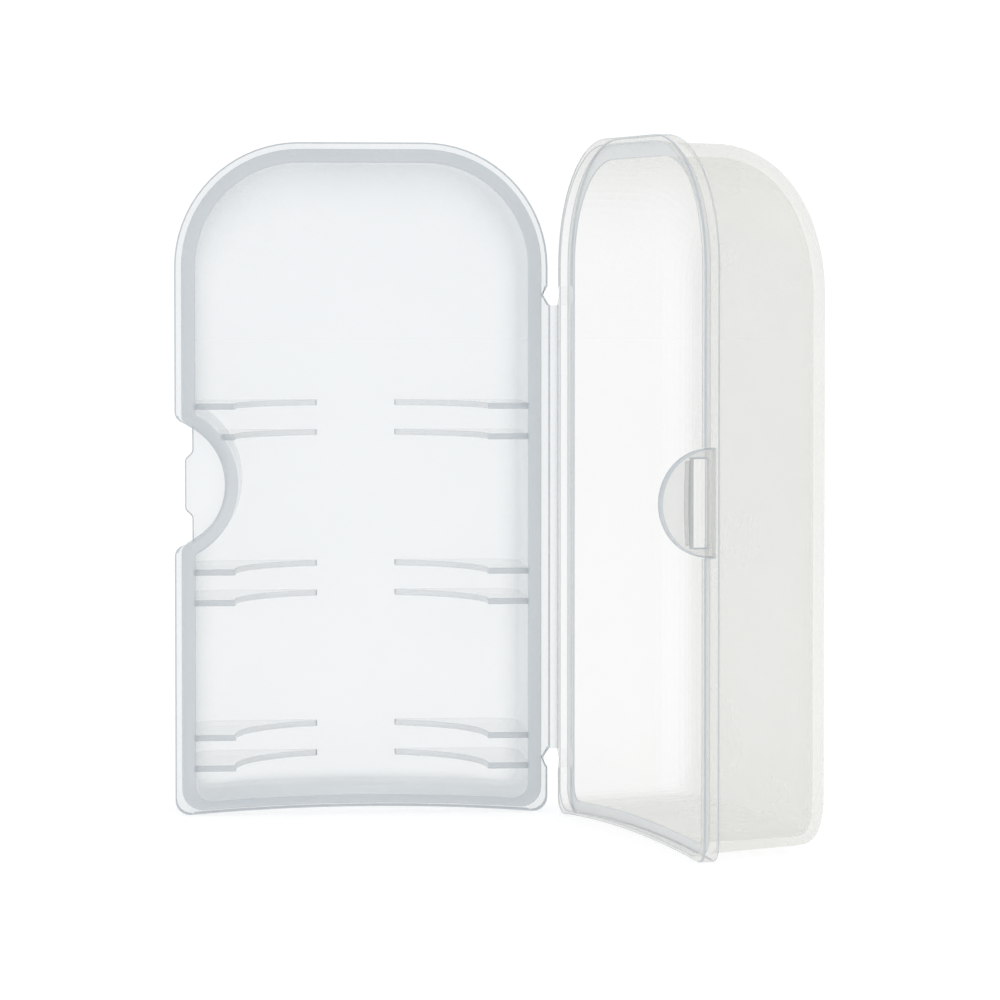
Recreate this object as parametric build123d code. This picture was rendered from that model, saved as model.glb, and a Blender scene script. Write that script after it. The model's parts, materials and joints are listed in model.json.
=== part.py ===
"""Storage case for a finger toothbrush: a polypropylene clamshell that stands upright, open like a book.

The tray, with the cradle ribs, opens towards -Y. The lid joins it along an upright living hinge and closes
over it. Each half is drawn in its own hinge frame, in millimetres: x runs from the hinge line to the latch
side, y from the plane where the halves meet to the back of that half, and z up from the foot.
"""

from build123d import *
from math import cos, radians, sin, sqrt, tan
import os

# One half, across its rim
rim_width = 39.0
rim_height = 70.3
half_depth = 14.6
crown_radius = 13.0
foot_rise = 0.84

# How far the lid stands open, and the gap that is left between the rims when it closes
open_angle = 105.1
seam_gap = 0.1

# Walls, with their draft from rim to back
wall = 1.4
foot_wall = 0.9
back_wall = 1.1
outer_draft = 0.35
inner_draft = 0.1
back_edge_radius = 3.9
back_crown_radius = 7.7
back_foot_radius = 2.2
foot_corner_growth = 0.6
edge_steps = 12

# Rim: a flange outside the wall, a lip on the tray and a rebate in the lid that it closes into
flange_reach = 0.75
foot_flange_reach = 0.5
flange_corner_radius = 1.5
lip_corner_radius = 2.1
cavity_corner_radius = 1.5
tray_rim_thickness = 1.3
lid_rim_thickness = 1.75
lip_height = 0.8
lip_end_clearance = 0.15
lip_side_clearance = 0.1

# Living hinge: a thin film between a leaf on each rim
hinge_offset = 0.7
film_reach = 0.47
film_thickness = 0.3
film_low = 6.8
film_crown_gap = 4.0
leaf_splay = 1.05
notch_flare = 0.95

# Cradle ribs, in pairs at three levels, on both sides of the tray
rib_thickness = 0.63
rib_first_top = 5.3
rib_pair_pitch = 3.2
rib_level_pitch = 17.3
rib_levels = 3
cradle_radius = 13.2
cradle_axis_depth = 0.3
cradle_gap = 8.4

# Finger pocket and catch, in the tray's latch side
latch_level = 34.7
pocket_radius = 6.83
pocket_offset = 1.6
pocket_draft = 0.75
pocket_corner_radius = 1.2
catch_inset = 1.84
catch_thickness = 0.95
catch_reach = 0.76
catch_tip_height = 4.9
catch_base_height = 7.1

# Latch tongue, on the lid
tongue_thickness = 1.05
tongue_radius = 5.25
tongue_reach = 4.35
tongue_pivot_depth = 0.74
tongue_gap = 0.06
window_height = 8.5
window_end = 1.0
hook_reach = 0.38
hook_width = 0.5

rim_left = hinge_offset
rim_right = hinge_offset + rim_width
middle = (rim_left + rim_right) / 2
rim_face = seam_gap / 2
lip_inner = flange_reach + wall
lip_foot_inner = foot_flange_reach + foot_wall
wall_side = rim_left + flange_reach
inner_depth = half_depth - back_wall
film_high = rim_height - crown_radius - film_crown_gap
foot_arch_radius = (rim_width**2 / 4 + foot_rise**2) / (2 * foot_rise)
rebate_depth = rim_face + lip_height + lip_end_clearance


def outline(inset, foot_inset, corner, top_inset=None):
    """Arched face across the half: the rim's outline moved in by inset, and by foot_inset along the foot.
    top_inset is given where the top moves in by a different amount."""
    top = rim_height - (inset if top_inset is None else top_inset)
    left, right = rim_left + inset, rim_right - inset
    arch_centre = foot_rise - foot_arch_radius
    arch_radius = foot_arch_radius + foot_inset
    side_foot = arch_centre + sqrt(arch_radius**2 - (middle - left) ** 2)
    edges = [
        Line((right, side_foot), (right, top)),
        Line((right, top), (left, top)),
        Line((left, top), (left, side_foot)),
        ThreePointArc((left, side_foot), (middle, arch_centre + arch_radius), (right, side_foot)),
    ]
    face = make_face(edges)
    face = fillet(face.vertices().sort_by(Axis.Y)[:2], corner)
    face = fillet(face.vertices().sort_by(Axis.Y)[-2:], crown_radius - inset)
    return Plane.XZ * face


def plate(face, near, far):
    """Solid made by carrying an upright face from y = near to y = far."""
    return extrude(Pos(0, near, 0) * face, far - near, dir=(0, 1, 0))


def block(x, y, z):
    """Box from its low and high values along each axis."""
    size = [high - low for low, high in (x, y, z)]
    return Pos(x[0], y[0], z[0]) * Box(*size, align=(Align.MIN, Align.MIN, Align.MIN))


def shape_xz(points, near, far):
    """Solid with the given (x, z) corners, from y = near to y = far."""
    return plate(Plane.XZ * make_face(Polyline(points, close=True)), near, far)


def hull(start, depth, inset, foot_inset, draft, thickness, corner):
    """Tapered solid from y = start to y = depth, with its back edges rounded off. thickness is how much
    smaller the roundings are than outside."""
    side, crown, foot = (
        radius - thickness for radius in (back_edge_radius, back_crown_radius, back_foot_radius)
    )
    stations = [start]
    for step in range(edge_steps + 1):
        stations.append(depth - crown + crown * sin(radians(90 * step / edge_steps)))
    faces = []
    for y in stations:
        move = draft * (y - start) / (depth - start)
        rounding = rounding_at(y, depth, side)
        section = outline(
            inset + move + rounding,
            foot_inset + move + rounding_at(y, depth, foot),
            corner + foot_corner_growth * rounding,
            inset + move + rounding_at(y, depth, crown),
        )
        faces.append(Pos(0, y, 0) * section)
    return loft(faces, ruled=True)


def rounding_at(y, depth, radius):
    """How far a back edge of this radius has moved in at y, on its way to the back panel at y = depth."""
    over = max(0.0, y - (depth - radius))
    return radius - sqrt(max(0.0, radius**2 - over**2))


def pocket(radius):
    """Drafted round space of the finger pocket, through the whole depth of the tray."""
    near, far = -lip_height - 1, half_depth + 1
    slope = pocket_draft / half_depth
    cone = Cone(
        radius + slope * near, radius + slope * far, far - near, align=(Align.CENTER, Align.CENTER, Align.MIN)
    )
    return Pos(rim_right + pocket_offset, near, latch_level) * Rot(X=-90) * cone


def cavity(rim_thickness):
    """The space inside a half, from in front of its rim to its back panel."""
    mouth = plate(outline(lip_inner, lip_foot_inner, cavity_corner_radius), -2 * lip_height, rim_thickness)
    deep = hull(
        rim_thickness, inner_depth, lip_inner, lip_foot_inner, inner_draft, back_wall, cavity_corner_radius
    )
    return mouth + deep


def outer_hull(rim_thickness):
    """The outside of a half's wall and back panel, behind its rim."""
    return hull(
        rim_thickness,
        half_depth,
        flange_reach,
        foot_flange_reach,
        outer_draft,
        0.0,
        lip_corner_radius,
    )


def leaf(near, far, reach):
    """Hinge leaf: a strip beside the film, out to x = reach, that splays towards the wall."""
    slope = leaf_splay / (wall_side - film_reach)
    splay = slope * (reach - film_reach)
    points = [
        (film_reach, film_low),
        (reach, film_low - splay),
        (reach, film_high + splay),
        (film_reach, film_high),
    ]
    return shape_xz(points, near, far)


def leaf_gap(far):
    """The length of flange that gives way to the hinge leaf, with a vee notch at each end."""
    low, high = film_low - leaf_splay, film_high + leaf_splay
    points = [
        (rim_left - 1, low - notch_flare * (1 + 1 / flange_reach)),
        (wall_side, low),
        (wall_side, high),
        (rim_left - 1, high + notch_flare * (1 + 1 / flange_reach)),
    ]
    return shape_xz(points, -2 * lip_height, far)


def build_tray():
    """The tray's own pieces, in its hinge frame."""
    inner_pocket = pocket(pocket_radius + wall)
    outer_pocket = pocket(pocket_radius)
    inside = cavity(tray_rim_thickness) - inner_pocket
    pieces = {"tray_shell": outer_hull(tray_rim_thickness) - outer_pocket - inside}

    flange = plate(outline(0, 0, flange_corner_radius), rim_face, tray_rim_thickness)
    flange = flange - outer_pocket - leaf_gap(tray_rim_thickness + 1)
    lip = plate(outline(flange_reach, foot_flange_reach, lip_corner_radius), rim_face - lip_height, rim_face)
    ends = [edge for edge in flange.edges() if is_pocket_end(edge)]
    pieces["tray_rim"] = fillet(ends, pocket_corner_radius) + (lip - outer_pocket) - inside
    pieces["tray_catch"] = catch(outer_pocket)
    pieces["tray_hinge_leaf"] = leaf(rim_face, tray_rim_thickness, wall_side)
    for number, top in enumerate(rib_tops(), start=1):
        for side, mirrored in (("hinge", False), ("latch", True)):
            pieces[f"cradle_rib_{number}_{side}_side"] = rib(top, mirrored, inside)
    return pieces


def is_pocket_end(edge):
    """Whether an edge is a corner where the flange stops at the finger pocket."""
    centre = edge.center()
    beside = abs(centre.Z - latch_level) < pocket_radius + 1
    return beside and abs(centre.X - rim_right) < 0.05 and edge.length < tray_rim_thickness + 0.2


def rib_tops():
    """Heights of the ribs' upper faces, from the lowest up."""
    return [
        rib_first_top + level * rib_level_pitch + place * rib_pair_pitch
        for level in range(rib_levels)
        for place in (0, 1)
    ]


def rib(top, mirrored, inside):
    """One cradle rib: it fits the side wall and back panel, and is hollowed to the brush's round body."""
    span = (middle + cradle_gap / 2, rim_right) if mirrored else (rim_left, middle - cradle_gap / 2)
    slab = block(span, (rim_face, half_depth), (top - rib_thickness, top))
    bed = Pos(middle, cradle_axis_depth, top) * Cylinder(cradle_radius, 4 * rib_thickness)
    return (slab & inside) - bed


def catch(outer_pocket):
    """The plate that bridges the finger pocket in the rim's plane, and the catch on its edge."""
    edge = rim_right - catch_inset
    far = rim_face + catch_thickness
    height = (latch_level - pocket_radius, latch_level + pocket_radius)
    bridge = block((rim_right - 2 * pocket_radius, edge), (rim_face, far), height) & outer_pocket
    nose = [
        (edge - catch_reach, latch_level - catch_base_height / 2),
        (edge, latch_level - catch_base_height / 2),
        (edge + catch_reach, latch_level - catch_tip_height / 2),
        (edge + catch_reach, latch_level + catch_tip_height / 2),
        (edge, latch_level + catch_base_height / 2),
        (edge - catch_reach, latch_level + catch_base_height / 2),
    ]
    return bridge + shape_xz(nose, rim_face, far)


def build_lid():
    """The lid's own pieces, in its hinge frame."""
    inside = cavity(lid_rim_thickness)
    pieces = {"lid_shell": outer_hull(lid_rim_thickness) - inside}

    rebate_inset = flange_reach - lip_side_clearance
    rebate_face = outline(rebate_inset, foot_flange_reach - lip_side_clearance, lip_corner_radius)
    rebate = plate(rebate_face, rim_face - 1, rebate_depth)
    flange = plate(outline(0, 0, flange_corner_radius), rim_face, lid_rim_thickness)
    pieces["lid_rim"] = flange - rebate - leaf_gap(lid_rim_thickness + 1) - inside - tongue_seat()
    pieces["lid_hinge_leaf"] = leaf(rim_face, rebate_depth, rim_left + rebate_inset) + leaf(
        rebate_depth, lid_rim_thickness, wall_side
    )
    pieces["latch_tongue"] = tongue()
    return pieces


def tongue_seat():
    """Room in the lid's rim for the root of the latch tongue."""
    half_height = tongue_radius + tongue_gap
    low = rim_right - tongue_thickness - tongue_gap
    far = tongue_pivot_depth + tongue_thickness / 2 + tongue_gap
    return block((low, rim_right + 1), (0, far), (latch_level - half_height, latch_level + half_height))


def tongue():
    """Latch tongue: a half moon with a window for the catch, and a hook along the window's far edge."""
    inner = rim_right - tongue_thickness
    across = (inner, rim_right)
    height = (latch_level - tongue_radius, latch_level + tongue_radius)
    disc = Pos(inner, tongue_radius - tongue_reach, latch_level) * Rot(Y=90) * Cylinder(
        tongue_radius, tongue_thickness, align=(Align.CENTER, Align.CENTER, Align.MIN)
    )
    body = disc & block(across, (-tongue_reach, tongue_pivot_depth), height)
    root_axis = Pos(inner + tongue_thickness / 2, tongue_pivot_depth, latch_level)
    root = root_axis * Cylinder(tongue_thickness / 2, 2 * tongue_radius)
    window = block(
        (inner - 1, rim_right + 1),
        (-window_end, tongue_pivot_depth),
        (latch_level - window_height / 2, latch_level + window_height / 2),
    )
    hook = block(
        (inner - hook_reach, inner),
        (-window_end - hook_width, -window_end),
        (latch_level - catch_base_height / 2, latch_level + catch_base_height / 2),
    )
    return body - window + root + hook


def build_film():
    """Hinge film, about the hinge line: an even bend between the two leaves, tangent to both."""
    turn = 180 - open_angle
    mid = rim_face + film_thickness / 2
    bend = film_reach / tan(radians(turn / 2)) + mid
    height = film_high - film_low
    ring = Cylinder(bend + film_thickness / 2, height) - Cylinder(bend - film_thickness / 2, height)
    far = 4 * bend
    end = (far * sin(radians(turn)), far * cos(radians(turn)))
    wedge = make_face(Polyline([(0, 0), (0, far), (far, far), end], close=True))
    film = ring & Pos(0, 0, -height / 2) * extrude(wedge, height)
    return Pos(-film_reach, mid - bend, (film_low + film_high) / 2) * film


def assemble():
    """All pieces in one frame, with the tray's half mirrored across the hinge line and the lid turned open."""
    pieces = {name: mirror(solid, about=Plane.YZ) for name, solid in build_tray().items()}
    pieces["hinge_film"] = build_film()
    lid_turn = Rot(Z=open_angle - 180)
    pieces.update({name: lid_turn * solid for name, solid in build_lid().items()})
    box = Compound(children=[Part() + solid for solid in pieces.values()]).bounding_box()
    stand = Pos(-box.center().X, -box.center().Y, -box.min.Z)
    return {name: stand * solid for name, solid in pieces.items()}, stand


pieces, stand = assemble()
os.makedirs("parts", exist_ok=True)
for name, solid in pieces.items():
    export_step(solid, f"parts/{name}.step")
print("hinge foot at", stand.position)
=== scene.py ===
"""Storage case for a finger toothbrush: a clamshell of natural polypropylene, standing open like a book."""

import json
from math import acos, asin, atan2, cos, hypot, pi, radians, sin, sqrt

import bmesh
import bpy
from mathutils import Matrix, Vector


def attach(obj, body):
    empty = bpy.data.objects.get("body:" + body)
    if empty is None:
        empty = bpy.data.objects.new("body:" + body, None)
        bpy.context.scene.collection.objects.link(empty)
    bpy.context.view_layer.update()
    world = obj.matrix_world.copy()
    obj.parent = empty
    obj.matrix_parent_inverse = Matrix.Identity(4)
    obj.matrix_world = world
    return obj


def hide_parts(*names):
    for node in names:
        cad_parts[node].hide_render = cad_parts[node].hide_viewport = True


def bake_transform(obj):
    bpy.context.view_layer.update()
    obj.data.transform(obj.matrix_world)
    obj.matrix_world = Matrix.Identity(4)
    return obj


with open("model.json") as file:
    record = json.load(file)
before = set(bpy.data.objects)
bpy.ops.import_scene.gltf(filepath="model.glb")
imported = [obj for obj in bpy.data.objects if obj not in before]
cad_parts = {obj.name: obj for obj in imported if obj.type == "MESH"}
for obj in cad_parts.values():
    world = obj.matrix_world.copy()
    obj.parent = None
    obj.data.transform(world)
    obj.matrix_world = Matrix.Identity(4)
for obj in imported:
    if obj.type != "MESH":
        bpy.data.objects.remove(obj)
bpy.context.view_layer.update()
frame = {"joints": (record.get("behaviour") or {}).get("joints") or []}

MM = 0.001
joints = {joint["name"]: joint for joint in frame["joints"]}
hinge_foot = Vector(joints["lid_hinge"]["pos_m"])
open_turn = radians(-joints["lid_hinge"]["range_deg"][1])

# ---------------------------------------------------------------------------------------------------------
# The stand: a plain white studio floor under a pale surround, with one large soft lamp on each side, and the
# camera a little above the case's middle, square to its upright edges.


def linear(hex_colour):
    """A linear RGBA colour from an sRGB hex value."""
    channels = [int(hex_colour[i : i + 2], 16) / 255 for i in (1, 3, 5)]
    return [c / 12.92 if c <= 0.04045 else ((c + 0.055) / 1.055) ** 2.4 for c in channels] + [1.0]


def add_node(tree, kind, settings=None, links=None, **values):
    """Adds a node: its settings, values for its sockets, and links from other nodes' sockets."""
    node = tree.nodes.new(kind)
    for name, value in (settings or {}).items():
        setattr(node, name, value)
    for name, value in values.items():
        node.inputs[name.replace("_", " ")].default_value = value
    for name, source in (links or {}).items():
        tree.links.new(source, node.inputs[name])
    return node


def clear_material(name):
    """A new material with an empty node tree."""
    material = bpy.data.materials.new(name)
    material.use_nodes = True
    material.node_tree.nodes.clear()
    return material


def studio_white():
    """Painted board, lit from below as well: matt and evenly white."""
    material = clear_material("studio_white")
    tree = material.node_tree
    shader = add_node(
        tree,
        "ShaderNodeBsdfPrincipled",
        Base_Color=linear("#A0A0A0"),
        Roughness=0.9,
        Emission_Color=linear("#FFFFFF"),
        Emission_Strength=0.685,
    )
    add_node(tree, "ShaderNodeOutputMaterial", links={"Surface": shader.outputs[0]})
    return material


bpy.ops.object.select_all(action="DESELECT")
bpy.ops.mesh.primitive_plane_add(size=6, location=(0, 0, 0))
floor = bpy.context.active_object
floor.name = "floor"
floor.data.materials.append(studio_white())


def surround():
    """White paper all round: full white to the eye, and a dimmer, cooler light on the case."""
    world = bpy.data.worlds.new("surround")
    world.use_nodes = True
    tree = world.node_tree
    tree.nodes.clear()
    eye = add_node(tree, "ShaderNodeLightPath")
    lit = add_node(tree, "ShaderNodeBackground", Color=linear("#F7FAFC"), Strength=0.92)
    seen = add_node(tree, "ShaderNodeBackground", Color=linear("#FDFEFF"), Strength=1.05)
    either = {0: eye.outputs["Is Camera Ray"], 1: lit.outputs[0], 2: seen.outputs[0]}
    mix = add_node(tree, "ShaderNodeMixShader", links=either)
    add_node(tree, "ShaderNodeOutputWorld", links={"Surface": mix.outputs[0]})
    return world


bpy.context.scene.world = surround()


def soft_lamp(name, place, size, power, tint):
    """A square soft box that faces the case."""
    lamp = bpy.data.lights.new(name, "AREA")
    lamp.size = size
    lamp.energy = power
    lamp.color = linear(tint)[:3]
    holder = bpy.data.objects.new(name, lamp)
    bpy.context.collection.objects.link(holder)
    holder.location = place
    aim = Vector((0, 0, 0.035)) - Vector(place)
    holder.rotation_euler = aim.to_track_quat("-Z", "Y").to_euler()


soft_lamp("soft_box_left", (-0.45, -0.25, 0.40), 0.35, 0.30, "#F6F9FF")
soft_lamp("soft_box_right", (0.50, -0.10, 0.35), 0.30, 0.55, "#FFF2DC")

camera_data = bpy.data.cameras.new("camera")
camera_data.lens = 139.8
camera_data.sensor_width = 36
camera_data.shift_y = -0.0998
camera = bpy.data.objects.new("camera", camera_data)
bpy.context.collection.objects.link(camera)
camera.location = hinge_foot + Vector((-41.7, -404.7, 56.5)) * MM
look = Vector((0.0885, 0.9961, -0.0323))
camera.rotation_euler = look.to_track_quat("-Z", "Y").to_euler()
bpy.context.scene.camera = camera
bpy.context.scene.view_settings.view_transform = "Standard"
bpy.context.scene.cycles.transparent_max_bounces = 32

# ---------------------------------------------------------------------------------------------------------
# The plastic: natural polypropylene, injection moulded and left uncoloured. It is milky and clear at once,
# glossy on its faces, and hides more where a wall is seen along its length than where it is seen through.


def polypropylene(name, tint, haze, edge_haze, gloss=0.22):
    """Natural polypropylene: haze is how much a face hides head-on, and edge_haze how much edge-on."""
    material = clear_material(name)
    tree = material.node_tree
    place = add_node(tree, "ShaderNodeTexCoord")
    # Clouds about 11 mm across, which make the milkiness and the gloss drift from place to place.
    over = {"Vector": place.outputs["Object"]}
    cloud = add_node(tree, "ShaderNodeTexNoise", links=over, Scale=90.0, Detail=2.0)
    # The fine grain of the mould's surface, under a millimetre, which breaks up the highlights.
    grain = add_node(tree, "ShaderNodeTexNoise", links=over, Scale=1400.0, Detail=2.0)
    # The light's longer way through a wall seen at a slant, which hides more of what is behind it.
    facing = add_node(tree, "ShaderNodeLayerWeight", Blend=0.35)
    hidden = add_node(
        tree,
        "ShaderNodeMapRange",
        links={"Value": facing.outputs["Facing"]},
        To_Min=haze,
        To_Max=edge_haze,
    )
    drift = add_node(
        tree, "ShaderNodeMapRange", links={"Value": cloud.outputs["Fac"]}, To_Min=0.9, To_Max=1.1
    )
    alpha = add_node(
        tree,
        "ShaderNodeMath",
        {"operation": "MULTIPLY", "use_clamp": True},
        {0: hidden.outputs[0], 1: drift.outputs[0]},
    )
    drifting = {"Value": cloud.outputs["Fac"]}
    rough = add_node(tree, "ShaderNodeMapRange", links=drifting, To_Min=gloss * 0.8, To_Max=gloss * 1.3)
    bump = add_node(
        tree, "ShaderNodeBump", links={"Height": grain.outputs["Fac"]}, Strength=0.04, Distance=0.0001
    )
    shader = add_node(
        tree,
        "ShaderNodeBsdfPrincipled",
        links={"Alpha": alpha.outputs[0], "Roughness": rough.outputs[0], "Normal": bump.outputs[0]},
        Base_Color=linear(tint),
        IOR=1.49,
    )
    add_node(tree, "ShaderNodeOutputMaterial", links={"Surface": shader.outputs[0]})
    return material


face_plastic = polypropylene("polypropylene_thin_wall", "#C8CFD3", 0.15, 0.60)
edge_plastic = polypropylene("polypropylene_edge", "#BDC3C8", 0.72, 0.90)
# The lid's copy of the same plastic is painted warm light: its tint is warmer and lighter than the tray's,
# and it has less haze so its side wall comes out brighter, standing in for the warm lamp on the right.
lid_plastic_painted_warm_light = polypropylene("polypropylene_lid_painted_warm_light", "#E1E0DA", 0.12, 0.60)
rib_plastic = polypropylene("polypropylene_rib_face", "#DCDCDA", 0.05, 0.16)
rib_edge_plastic = polypropylene("polypropylene_rib_edge", "#CDD0D2", 0.40, 0.75)
tongue_plastic = polypropylene("polypropylene_tongue_face", "#D2D2CF", 0.24, 0.60)

# ---------------------------------------------------------------------------------------------------------
# The two halves, injection moulded in polypropylene: each is one continuous wall, from the outside of its
# back panel round the rim to the inside. It starts as a flat panel, pulled out and reshaped ring by ring.

WIDTH, HEIGHT, DEPTH = 39.0, 70.3, 14.6
OFFSET, FOOT_RISE, CROWN = 0.7, 0.84, 13.0
LEFT, RIGHT = OFFSET, OFFSET + WIDTH
MIDDLE = (LEFT + RIGHT) / 2
RIM_FACE = 0.05
FOOT_ARCH = (WIDTH**2 / 4 + FOOT_RISE**2) / (2 * FOOT_RISE)
LEAF_LOW, LEAF_HIGH, LEAF_REACH, LEAF_SPLAY = 6.8, 53.3, 0.47, 1.05
NOTCH_FLARE = 0.95
LATCH_LEVEL = 34.7
POCKET = {"radius": 6.83, "offset": 1.6, "draft": 0.75}
FLANGE, FLANGE_FOOT = 0.75, 0.5
WALL_INSIDE, FOOT_INSIDE = 2.15, 1.4
WALL, BACK_WALL = 1.4, 1.1
OUTER_DRAFT, INNER_DRAFT = 0.35, 0.1
BACK_RADII = (3.9, 2.2, 7.7)
FLANGE_CORNER, LIP_CORNER, INNER_CORNER, CORNER_GROWTH = 1.5, 2.1, 1.5, 0.6
FOOT_STEPS, CORNER_STEPS, CROWN_STEPS, POCKET_STEPS, FILLET_STEPS = 20, 6, 18, 26, 5


def arc(centre, radius, start, end, steps):
    """Points along an arc, without its last one. Angles are in radians."""
    turns = [start + (end - start) * step / steps for step in range(steps)]
    return [(centre[0] + radius * cos(turn), centre[1] + radius * sin(turn)) for turn in turns]


def latch_side(side, low, high, pocket_radius, fillet):
    """Points up the latch side, round the finger pocket where the side reaches it."""
    straight, bend = 6, 2 * FILLET_STEPS + POCKET_STEPS
    run = RIGHT + POCKET["offset"] - side + fillet
    cut = pocket_radius is not None and run < pocket_radius + fillet
    rise = sqrt((pocket_radius + fillet) ** 2 - run**2) if cut else 5.0
    bottom, top = LATCH_LEVEL - rise, LATCH_LEVEL + rise
    points = [(side, low + (bottom - low) * step / straight) for step in range(straight)]
    if cut:
        lean = atan2(rise, run)
        points += arc((side - fillet, bottom), fillet, 0, lean, FILLET_STEPS)
        centre = (RIGHT + POCKET["offset"], LATCH_LEVEL)
        points += arc(centre, pocket_radius, pi + lean, pi - lean, POCKET_STEPS)
        points += arc((side - fillet, top), fillet, -lean, 0, FILLET_STEPS)
    else:
        points += [(side, bottom + (top - bottom) * step / bend) for step in range(bend)]
    points += [(side, top + (high - top) * step / straight) for step in range(straight)]
    return points


def arch(inset, foot, top, corner, pocket_radius=None, fillet=0.5, leaf=0.0):
    """Points round a half, from the foot's hinge end: an arch moved in by inset at its sides, and by foot and
    top at its ends. leaf is how far its hinge side follows the hinge leaf and its notches."""
    left, right, top = LEFT + inset, RIGHT - inset, HEIGHT - top
    crown = CROWN - inset
    centre = FOOT_RISE - FOOT_ARCH
    radius = FOOT_ARCH + foot
    run = (right - left) / 2 - corner
    swing = asin(run / (radius + corner))
    corner_z = centre + sqrt((radius + corner) ** 2 - run**2)
    points = arc((MIDDLE, centre), radius, pi / 2 + swing, pi / 2 - swing, FOOT_STEPS)
    points += arc((right - corner, corner_z), corner, -pi / 2 - swing, 0, CORNER_STEPS)
    points += latch_side(right, corner_z, top - crown, pocket_radius, fillet)
    points += arc((right - crown, top - crown), crown, 0, pi / 2, CROWN_STEPS)
    points += [(right - crown, top), ((left + right) / 2, top)]
    points += arc((left + crown, top - crown), crown, pi / 2, pi, CROWN_STEPS)
    low_end, high_end = LEAF_LOW - LEAF_SPLAY, LEAF_HIGH + LEAF_SPLAY
    notch = LEFT + 0.7
    wanted = [
        (left, min(high_end + NOTCH_FLARE, top - crown - 0.2)),
        (notch, min(high_end, top - crown - 0.4)),
        (LEAF_REACH, min(LEAF_HIGH, top - crown - 0.6)),
        (LEAF_REACH, (LEAF_LOW + LEAF_HIGH) / 2),
        (LEAF_REACH, max(LEAF_LOW, corner_z + 0.6)),
        (notch, max(low_end, corner_z + 0.4)),
        (left, max(low_end - NOTCH_FLARE, corner_z + 0.2)),
    ]
    points += [(left, top - crown)] + [(left + (x - left) * leaf, z) for x, z in wanted]
    points += arc((left + corner, corner_z), corner, pi, 3 * pi / 2 + swing, CORNER_STEPS)
    return points


def rounding_at(y, depth, radius):
    """How far a back edge of this radius has moved in at y, on its way to the back panel at y = depth."""
    over = max(0.0, y - (depth - radius))
    return radius - sqrt(max(0.0, radius**2 - over**2))


def back_curve(start, depth, inset, foot, draft, thickness, corner, steps=12):
    """Rings of a wall from the rim round the back edge to its back panel: inset, foot, y, top and corner."""
    side_radius, foot_radius, crown_radius = (radius - thickness for radius in BACK_RADII)
    rings = []
    for step in range(steps + 1):
        y = depth - crown_radius + crown_radius * sin(pi / 2 * step / steps)
        move = draft * (y - start) / (depth - start)
        rounding = rounding_at(y, depth, side_radius)
        foot_move = foot + move + rounding_at(y, depth, foot_radius)
        top_move = inset + move + rounding_at(y, depth, crown_radius)
        rings.append((inset + move + rounding, foot_move, y, top_move, corner + CORNER_GROWTH * rounding))
    return rings


def soften(rings, radii, steps=3):
    """The same rings with each corner of their profile rounded off by its own radius."""
    out = []
    for index, (ring, radius) in enumerate(zip(rings, radii)):
        here = Vector(ring)
        if radius == 0:
            out.append(here)
            continue
        ends = []
        for other in (rings[index - 1], rings[index + 1]):
            way = Vector(other) - here
            ends.append(here + way * radius / hypot(way[0], way[2]))
        for step in range(steps + 1):
            t = step / steps
            out.append(ends[0] * (1 - t) ** 2 + here * 2 * t * (1 - t) + ends[1] * t**2)
    return out


def half_shell(name, rings, leaf_share, pocket_for):
    """One half, pulled out of a flat back panel through each ring in turn."""
    count = len(arch(0, 0, 0, FLANGE_CORNER))
    bpy.ops.mesh.primitive_circle_add(vertices=count, radius=10 * MM, fill_type="NGON")
    half = bpy.context.active_object
    half.name = name
    bpy.ops.object.mode_set(mode="EDIT")
    bpy.ops.mesh.select_all(action="SELECT")
    mesh = bmesh.from_edit_mesh(half.data)
    order = mesh.verts.layers.int.new("order")
    for index, vert in enumerate(mesh.verts):
        vert[order] = index
    for number, ring in enumerate(rings):
        if number:
            bpy.ops.mesh.extrude_region_move()
            mesh = bmesh.from_edit_mesh(half.data)
            order = mesh.verts.layers.int["order"]
        inset, foot, y, top, corner = ring
        radius, fillet = pocket_for(y, number)
        points = arch(inset, foot, top, corner, radius, fillet, leaf_share(inset))
        for vert in mesh.verts:
            if vert.select:
                x, z = points[vert[order]]
                vert.co = Vector((x, y, z)) * MM
        bmesh.update_edit_mesh(half.data)
    bpy.ops.mesh.select_all(action="SELECT")
    bpy.ops.mesh.normals_make_consistent(inside=False)
    bpy.ops.object.mode_set(mode="OBJECT")
    return half


def mark_edges(half, level, flange_back, flat_slot):
    """Gives the flange's rounded edges, and the flat at this depth, the look of the wall seen end-on."""
    for face in half.data.polygons:
        flat = abs(face.normal.y) > 0.9 and abs(face.center.y - level * MM) < 0.06 * MM
        rounded = 0.15 < abs(face.normal.y) < 0.97 and face.center.y < flange_back * MM
        if flat:
            face.material_index = flat_slot
        elif rounded:
            face.material_index = 1


def flange_share(inset):
    """How far a ring follows the hinge leaf: only the flange's outer edge does."""
    return max(0.0, min(1.0, 1 - inset / 0.6))


def seat(piece, side):
    """Puts a piece in its place, from its hinge frame: mirrored for the tray, and turned open for the lid."""
    if side == "tray":
        piece.data.transform(Matrix.Diagonal((-1, 1, 1, 1)))
        piece.data.flip_normals()
    else:
        piece.data.transform(Matrix.Rotation(open_turn, 4, "Z"))
    piece.data.transform(Matrix.Translation(hinge_foot))


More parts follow.
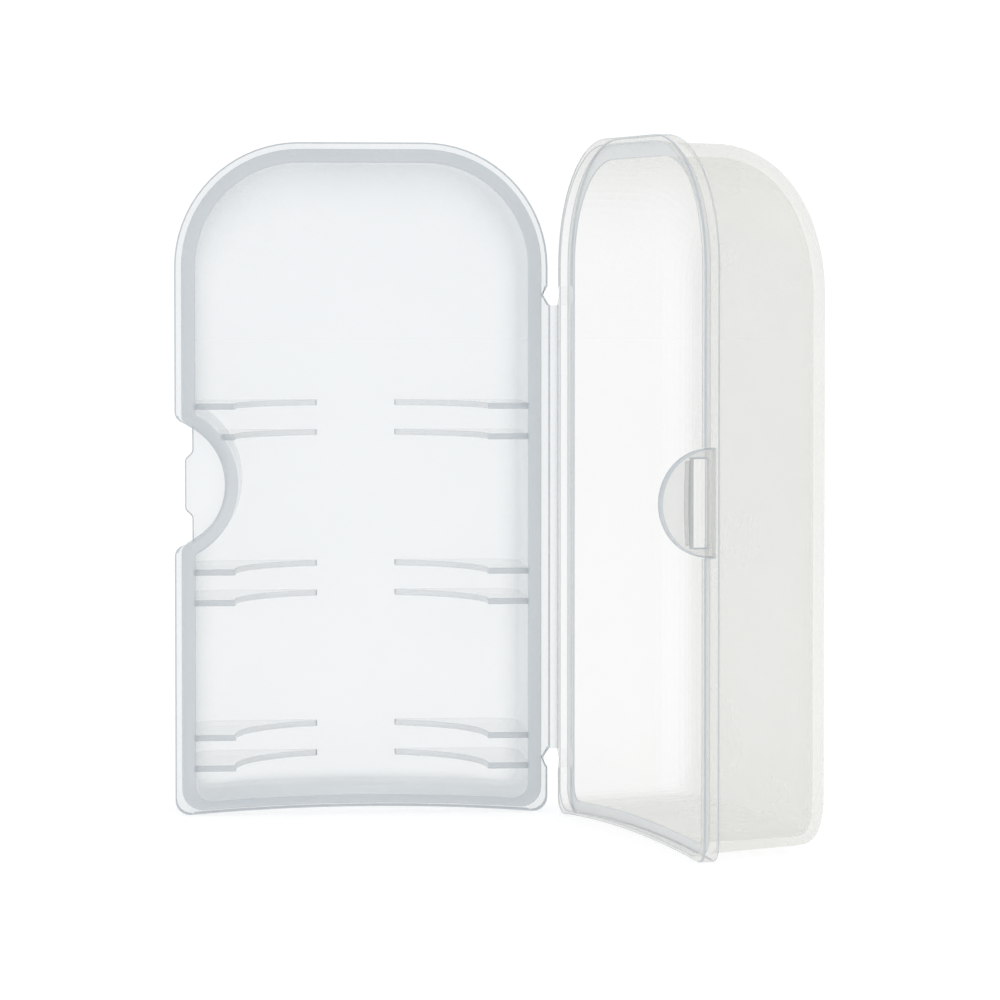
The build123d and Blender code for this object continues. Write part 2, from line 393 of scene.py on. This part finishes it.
def cut_box(piece, low, high):
    """Cuts a box-shaped opening in a piece, from its low corner to its high corner."""
    bpy.ops.object.select_all(action="DESELECT")
    centre = (Vector(low) + Vector(high)) / 2 * MM
    bpy.ops.mesh.primitive_cube_add(size=1, location=centre, scale=(Vector(high) - Vector(low)) * MM)
    cutter = bpy.context.active_object
    bpy.ops.object.transform_apply(location=True, rotation=True, scale=True)
    cut = piece.modifiers.new("cut", "BOOLEAN")
    cut.operation = "DIFFERENCE"
    cut.solver = "EXACT"
    cut.object = cutter
    bpy.context.view_layer.objects.active = piece
    bpy.ops.object.modifier_apply(modifier=cut.name)
    bpy.data.objects.remove(cutter)


TRAY_RIM, LID_RIM, LIP, REBATE = 1.3, 1.75, 0.8, 1.0
OUTER_POCKET_FILLET, INNER_POCKET_FILLET = 1.2, 0.5
tray_rings = back_curve(TRAY_RIM, DEPTH, FLANGE, FLANGE_FOOT, OUTER_DRAFT, 0, LIP_CORNER)[::-1]
outer_count = len(tray_rings)
tray_rim = [
    (FLANGE, FLANGE_FOOT, TRAY_RIM, FLANGE, LIP_CORNER),
    (0.0, 0.0, TRAY_RIM, 0.0, FLANGE_CORNER),
    (0.0, 0.0, RIM_FACE, 0.0, FLANGE_CORNER),
    (FLANGE, FLANGE_FOOT, RIM_FACE, FLANGE, LIP_CORNER),
    (FLANGE, FLANGE_FOOT, RIM_FACE - LIP, FLANGE, LIP_CORNER),
    (WALL_INSIDE, FOOT_INSIDE, RIM_FACE - LIP, WALL_INSIDE, INNER_CORNER),
]
inside = (DEPTH - BACK_WALL, WALL_INSIDE, FOOT_INSIDE, INNER_DRAFT, BACK_WALL, INNER_CORNER)
inner = back_curve(TRAY_RIM, *inside)
profile = [tray_rings[-1]] + tray_rim + [inner[0]]
softened = soften(profile, [0, 0.15, 0.25, 0.35, 0.08, 0.2, 0.2, 0])
tray_profile = tray_rings[:-1] + softened[:-1] + inner
first_inner = outer_count - 1 + len(softened) - 5


def tray_pocket(y, number):
    """Radius of the finger pocket at a ring of the tray, and of the corner where the ring turns into it."""
    growth = POCKET["draft"] * y / DEPTH
    if number >= first_inner:
        return POCKET["radius"] + WALL + growth, INNER_POCKET_FILLET
    return POCKET["radius"] + growth, OUTER_POCKET_FILLET


tray = half_shell("tray_moulding", tray_profile, flange_share, tray_pocket)
mark_edges(tray, RIM_FACE - LIP, TRAY_RIM, 1)
seat(tray, "tray")
tray.data.materials.append(face_plastic)
tray.data.materials.append(edge_plastic)
bpy.ops.object.shade_smooth_by_angle(angle=radians(40))
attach(tray, "tray")
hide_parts("tray_shell", "tray_rim", "tray_hinge_leaf")

lid_rings = back_curve(LID_RIM, DEPTH, FLANGE, FLANGE_FOOT, OUTER_DRAFT, 0, LIP_CORNER)[::-1]
LIP_CLEARANCE = 0.1
rebate_inset, rebate_foot = FLANGE - LIP_CLEARANCE, FLANGE_FOOT - LIP_CLEARANCE
lid_rim = [
    (FLANGE, FLANGE_FOOT, LID_RIM, FLANGE, LIP_CORNER),
    (0.0, 0.0, LID_RIM, 0.0, FLANGE_CORNER),
    (0.0, 0.0, RIM_FACE, 0.0, FLANGE_CORNER),
    (rebate_inset, rebate_foot, RIM_FACE, rebate_inset, LIP_CORNER),
    (rebate_inset, rebate_foot, REBATE, rebate_inset, LIP_CORNER),
    (WALL_INSIDE, FOOT_INSIDE, REBATE, WALL_INSIDE, INNER_CORNER),
]
lid_inner = back_curve(LID_RIM, *inside)
profile = [lid_rings[-1]] + lid_rim + [lid_inner[0]]
softened = soften(profile, [0, 0.15, 0.25, 0.25, 0.12, 0.08, 0.15, 0])
lid_profile = lid_rings[:-1] + softened[:-1] + lid_inner

bpy.ops.object.select_all(action="DESELECT")
lid = half_shell("lid_moulding", lid_profile, flange_share, lambda y, number: (None, 0))
mark_edges(lid, REBATE, LID_RIM, 2)
TONGUE_SEAT_X, TONGUE_SEAT_Y, TONGUE_SEAT_HEIGHT = RIGHT - 1.11, 1.325, 10.62
seat_low = (TONGUE_SEAT_X, RIM_FACE - 1, LATCH_LEVEL - TONGUE_SEAT_HEIGHT / 2)
cut_box(lid, seat_low, (RIGHT + 1, TONGUE_SEAT_Y, LATCH_LEVEL + TONGUE_SEAT_HEIGHT / 2))
seat(lid, "lid")
# The lid's walls take the copy of the plastic with painted warm light, lighter and warmer than the tray's.
lid.data.materials.append(lid_plastic_painted_warm_light)
lid.data.materials.append(edge_plastic)
lid.data.materials.append(rib_edge_plastic)
bpy.ops.object.shade_smooth_by_angle(angle=radians(40))
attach(lid, "lid")
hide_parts("lid_shell", "lid_rim", "lid_hinge_leaf")

# ---------------------------------------------------------------------------------------------------------
# Cradle ribs: thin polypropylene webs moulded with the tray, in pairs across its corners, and hollowed to
# the brush's round sleeve. Each grows out of the side wall and back panel, so it runs a little into them.

RIB_THICKNESS, RIB_FIRST, RIB_PAIR, RIB_LEVEL = 0.63, 5.3, 3.2, 17.3
CRADLE_RADIUS, CRADLE_DEPTH, CRADLE_GAP = 13.2, 0.3, 8.4
SUNK = 0.25
SIDE_WALL, PANEL, PANEL_ROUND = LEFT + WALL_INSIDE, DEPTH - BACK_WALL, BACK_RADII[0] - BACK_WALL


def ease_edges(piece, width):
    """Rounds off a piece's edges by this many millimetres."""
    ease = piece.modifiers.new("eased_edges", "BEVEL")
    ease.width = width * MM
    ease.segments = 2
    ease.limit_method = "ANGLE"
    ease.angle_limit = radians(40)
    bpy.context.view_layer.objects.active = piece
    bpy.ops.object.modifier_apply(modifier=ease.name)


def moulded_plate(name, points, plane, thickness, edge):
    """A flat plate with this outline, drawn in a plane of two axes and its normal, with its edges eased."""
    bpy.ops.object.select_all(action="DESELECT")
    bpy.ops.mesh.primitive_circle_add(vertices=len(points), radius=MM, fill_type="NGON")
    piece = bpy.context.active_object
    piece.name = name
    across, up, through = (Vector(axis) for axis in plane)
    for vert, (a, b) in zip(piece.data.vertices, points):
        vert.co = (across * a + up * b) * MM
    bpy.ops.object.mode_set(mode="EDIT")
    bpy.ops.mesh.select_all(action="SELECT")
    bpy.ops.mesh.extrude_region_move(TRANSFORM_OT_translate={"value": through * thickness * MM})
    bpy.ops.mesh.select_all(action="SELECT")
    bpy.ops.mesh.normals_make_consistent(inside=False)
    bpy.ops.object.mode_set(mode="OBJECT")
    if edge:
        ease_edges(piece, edge)
    bpy.ops.object.shade_smooth_by_angle(angle=radians(40))
    return piece


def mark_faces(piece, slot, wanted):
    """Gives each face that is wanted, by its normal and its centre in millimetres, this material slot."""
    for face in piece.data.polygons:
        if wanted(face.normal, face.center / MM):
            face.material_index = slot


def shift(piece, x, y, z):
    """Moves a piece's mesh by millimetres, in its hinge frame."""
    piece.data.transform(Matrix.Translation(Vector((x, y, z)) * MM))


def rib_outline(wall_x):
    """Plan of a rib on the hinge side: from its post at the rim, down the round bed, and back up the wall."""
    wall_x -= SUNK
    back = PANEL + SUNK
    corner = PANEL_ROUND + SUNK
    start = asin((RIM_FACE - CRADLE_DEPTH) / CRADLE_RADIUS)
    end = acos(CRADLE_GAP / 2 / CRADLE_RADIUS)
    bed = arc((0, CRADLE_DEPTH), CRADLE_RADIUS, start, end, 24)
    points = [(MIDDLE - x, y) for x, y in bed]
    toe = MIDDLE - CRADLE_GAP / 2
    points += [(toe, CRADLE_DEPTH + CRADLE_RADIUS * sin(end)), (toe, back)]
    points += arc((SIDE_WALL - SUNK + corner, back - corner), corner, pi / 2, pi, 8)
    if wall_x > SIDE_WALL:
        points = [(max(x, wall_x), y) for x, y in points]
    return points + [(wall_x, back - corner), (wall_x, RIM_FACE)]


for number in range(6):
    top = RIB_FIRST + number // 2 * RIB_LEVEL + number % 2 * RIB_PAIR
    middle_level = top - RIB_THICKNESS / 2 - LATCH_LEVEL
    for side in ("hinge", "latch"):
        reach = POCKET["radius"] + WALL
        wall_x = SIDE_WALL
        if side == "latch" and abs(middle_level) < reach:
            wall_x = LEFT - POCKET["offset"] + sqrt(reach**2 - middle_level**2)
        name = f"cradle_rib_{number + 1}_{side}_side"
        plane = ((1, 0, 0), (0, 1, 0), (0, 0, 1))
        rib = moulded_plate(name + "_web", rib_outline(max(SIDE_WALL, wall_x)), plane, RIB_THICKNESS, 0.1)
        shift(rib, 0, 0, top - RIB_THICKNESS)
        mark_faces(rib, 1, lambda way, at: abs(way.z) < 0.95 and way.x - way.y > 0.3)
        mark_faces(rib, 2, lambda way, at: way.y < -0.3 and at.y < RIM_FACE + 0.2 or at.x > MIDDLE - 4.3)
        if side == "latch":
            rib.data.transform(Matrix.Diagonal((-1, 1, 1, 1)))
            rib.data.flip_normals()
            shift(rib, LEFT + RIGHT, 0, 0)
        seat(rib, "tray")
        rib.data.materials.append(rib_plastic)
        rib.data.materials.append(rib_edge_plastic)
        rib.data.materials.append(edge_plastic)
        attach(rib, "tray")
        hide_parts(name)

# ---------------------------------------------------------------------------------------------------------
# The catch: a thin polypropylene plate, moulded with the tray's rim, that bridges the finger pocket in the
# rim's plane. The nose on its free edge is what the latch tongue's hook snaps over.

CATCH_INSET, CATCH_THICKNESS, CATCH_REACH, CATCH_TIP, CATCH_BASE = 1.84, 0.92, 0.76, 4.9, 7.1
edge_x = RIGHT - CATCH_INSET
pocket_centre = (RIGHT + POCKET["offset"], LATCH_LEVEL)
bridge_radius = POCKET["radius"] + SUNK
lean = acos((pocket_centre[0] - edge_x) / bridge_radius)
outline = arc(pocket_centre, bridge_radius, pi + lean, pi - lean, 30)
outline.append((edge_x, LATCH_LEVEL + bridge_radius * sin(lean)))
ramp = [step / 6 for step in range(7)]
for way, share in [(1, t) for t in ramp] + [(-1, 1 - t) for t in ramp]:
    rise = CATCH_REACH * (1 - cos(pi * share)) / 2
    half_height = CATCH_BASE / 2 - (CATCH_BASE - CATCH_TIP) / 2 * share
    outline.append((edge_x + rise, LATCH_LEVEL + way * half_height))
catch = moulded_plate("catch_plate", outline, ((1, 0, 0), (0, 0, 1), (0, 1, 0)), CATCH_THICKNESS, 0.12)
shift(catch, 0, RIM_FACE, 0)
mark_faces(catch, 1, lambda way, at: abs(way.y) < 0.95 and at.x > edge_x - 0.2)
seat(catch, "tray")
catch.data.materials.append(face_plastic)
catch.data.materials.append(edge_plastic)
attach(catch, "tray")
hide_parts("tray_catch")

# ---------------------------------------------------------------------------------------------------------
# The latch tongue: a springy half moon of polypropylene, moulded with the lid's rim, with a window that takes
# the catch's nose and a hook along the window's far edge. It has two narrow arms, one on each side of the
# window.

TONGUE_THICKNESS, TONGUE_RADIUS, TONGUE_REACH, TONGUE_ROOT = 1.05, 5.25, 4.35, 1.27
WINDOW_HEIGHT, WINDOW_END, WINDOW_ROOT, HOOK_REACH, HOOK_WIDTH = 8.5, 1.0, 0.74, 0.38, 0.5
TONGUE_INNER = RIGHT - TONGUE_THICKNESS


moon_centre = TONGUE_RADIUS - TONGUE_REACH
moon = arc((moon_centre, LATCH_LEVEL), TONGUE_RADIUS, pi / 2, 3 * pi / 2, 36)
moon += [(moon_centre, LATCH_LEVEL - TONGUE_RADIUS)]
moon += [(TONGUE_ROOT, LATCH_LEVEL - TONGUE_RADIUS), (TONGUE_ROOT, LATCH_LEVEL + TONGUE_RADIUS)]
tongue = moulded_plate("tongue", moon, ((0, 1, 0), (0, 0, 1), (1, 0, 0)), TONGUE_THICKNESS, 0)
shift(tongue, TONGUE_INNER, 0, 0)
window = WINDOW_HEIGHT / 2
window_low = (TONGUE_INNER - 1, -WINDOW_END, LATCH_LEVEL - window)
cut_box(tongue, window_low, (RIGHT + 1, WINDOW_ROOT, LATCH_LEVEL + window))
ease_edges(tongue, 0.14)
hook_line = [(-HOOK_REACH * sin(pi * step / 16), window * (step / 8 - 1) * 0.96) for step in range(17)]
hook_line += [(0.2, window * 0.96), (0.2, -window * 0.96)]
hook = moulded_plate("hook", hook_line, ((1, 0, 0), (0, 0, 1), (0, 1, 0)), HOOK_WIDTH, 0.08)
shift(hook, TONGUE_INNER, -WINDOW_END - HOOK_WIDTH, LATCH_LEVEL)
bpy.ops.object.select_all(action="DESELECT")
hook.select_set(True)
tongue.select_set(True)
bpy.context.view_layer.objects.active = tongue
bpy.ops.object.join()
tongue.name = "latch_tongue_moon"
bpy.ops.object.shade_smooth_by_angle(angle=radians(40))
mark_faces(tongue, 1, lambda way, at: abs(way.x) < 0.95 and -0.98 < at.y < 0.5)
mark_faces(tongue, 1, lambda way, at: abs(way.x) < 0.95 and hypot(at.y - moon_centre, at.z - LATCH_LEVEL) > 5)
mark_faces(tongue, 1, lambda way, at: way.y > 0.5 and -1.1 < at.y < -0.9)
seat(tongue, "lid")
tongue.data.materials.append(tongue_plastic)
tongue.data.materials.append(edge_plastic)


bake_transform(tongue)
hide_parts("latch_tongue")

# ---------------------------------------------------------------------------------------------------------
# The living hinge: a film of the same polypropylene, from the tray's leaf to the lid's leaf. The mould
# squeezes it thin enough to bend for thousands of openings.

FILM_THICKNESS = 0.3
bend_turn = -open_turn
film_middle = RIM_FACE + FILM_THICKNESS / 2
bend_radius = LEAF_REACH / sin(bend_turn / 2) * cos(bend_turn / 2) + film_middle
bend_centre = (-LEAF_REACH, film_middle - bend_radius)
film_line = arc(bend_centre, bend_radius + FILM_THICKNESS / 2, pi / 2 + 0.06, pi / 2 - bend_turn - 0.06, 14)
film_line += arc(bend_centre, bend_radius - FILM_THICKNESS / 2, pi / 2 - bend_turn - 0.06, pi / 2 + 0.06, 14)
film = moulded_plate("film", film_line, ((1, 0, 0), (0, 1, 0), (0, 0, 1)), LEAF_HIGH - LEAF_LOW, 0)
shift(film, 0, 0, LEAF_LOW)
film.data.transform(Matrix.Translation(hinge_foot))
film.name = "hinge_film_strip"
film.data.materials.append(face_plastic)
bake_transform(film)
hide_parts("hinge_film")
